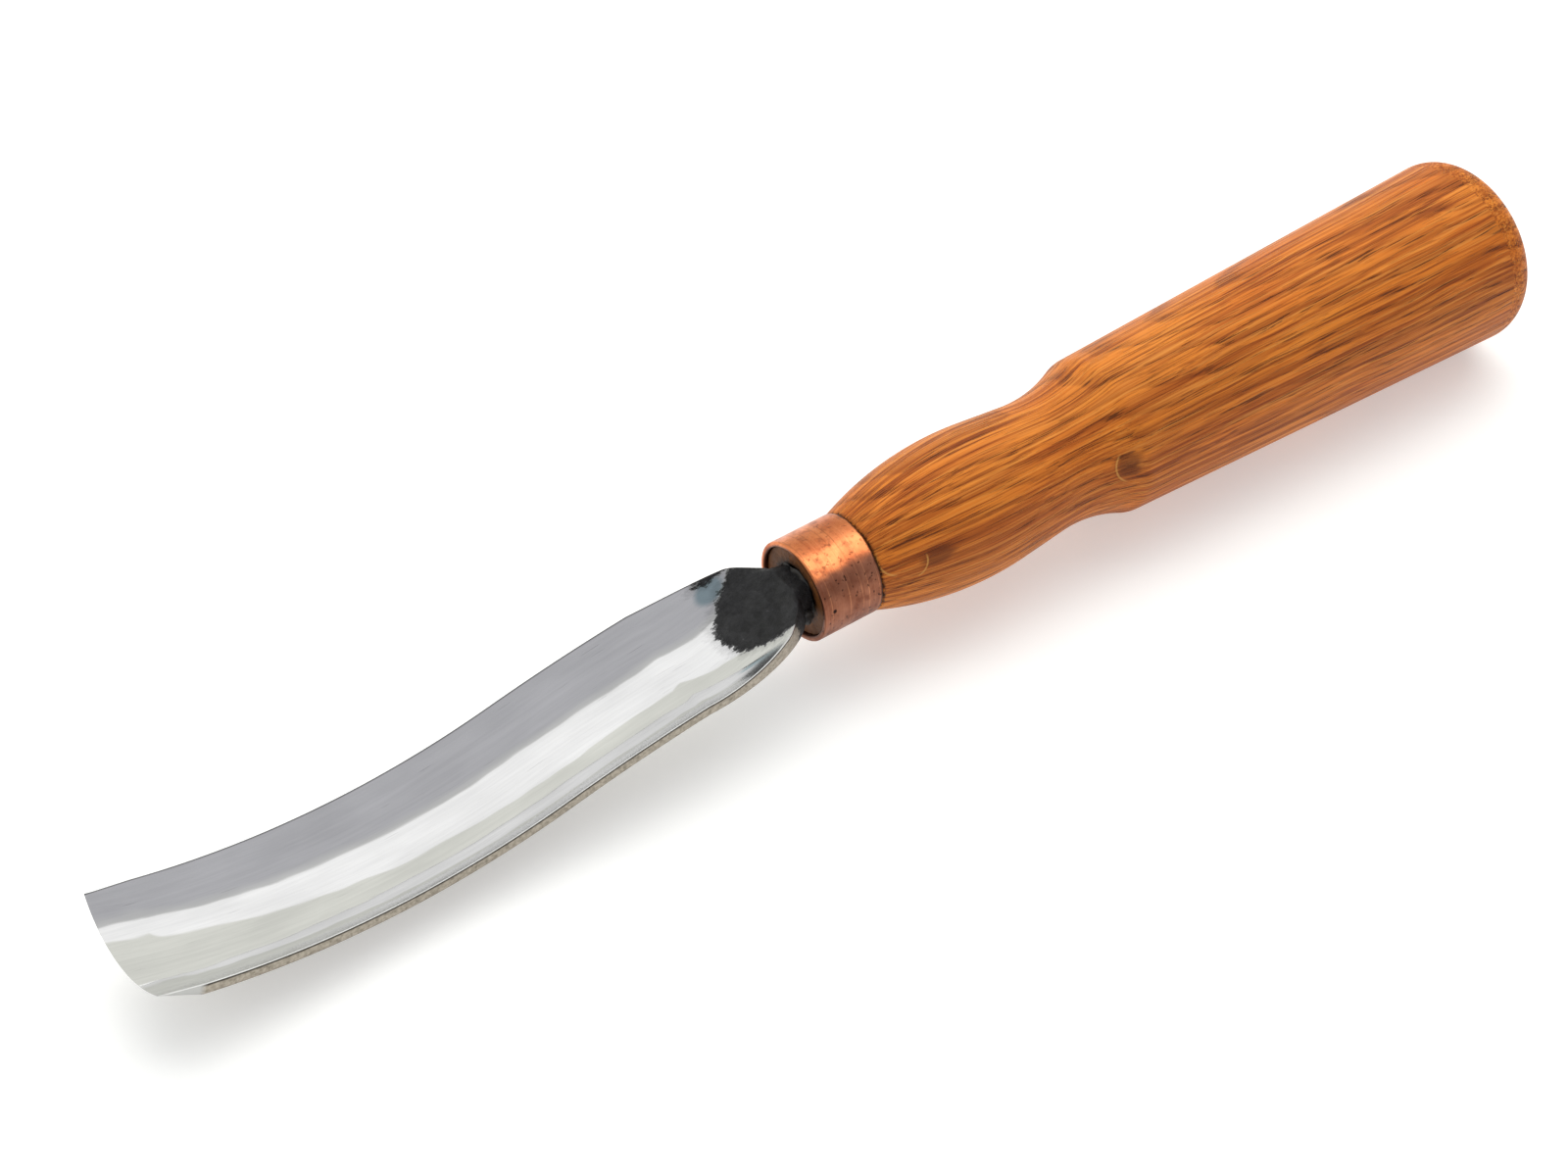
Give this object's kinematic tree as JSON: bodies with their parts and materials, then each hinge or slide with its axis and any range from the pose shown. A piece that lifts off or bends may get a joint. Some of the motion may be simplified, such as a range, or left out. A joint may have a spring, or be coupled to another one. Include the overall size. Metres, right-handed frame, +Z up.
{
  "type": "carving gouge",
  "caption": "Wood carving gouge: bowed channel blade with rounded shoulders, copper ferrule, turned hardwood handle.",
  "frame": {"origin": "bottom centre of the tool's bounding box, as it lies channel up on a table", "axes": "+X along the tool from the cutting edge to the butt, parallel to the handle's axis; +Z up, the side the channel opens to; the tool is symmetric about the XZ plane"},
  "size_m": [0.2693, 0.0336, 0.0336],
  "materials": {
    "steel": "forged and ground tool steel, channel polished to a mirror, sides satin ground, black forge scale at the neck",
    "copper": "drawn copper tube, fine turning lines, lightly tarnished with small dark specks",
    "oak": "turned oak, oiled to a warm brown, satin, dark open pores along the grain",
    "bedding": "dark set epoxy"
  },
  "bodies": {
    "root": {"blade": "steel", "ferrule": "copper", "handle": "oak", "tang_adhesive": "bedding"}
  },
  "joints": []
}
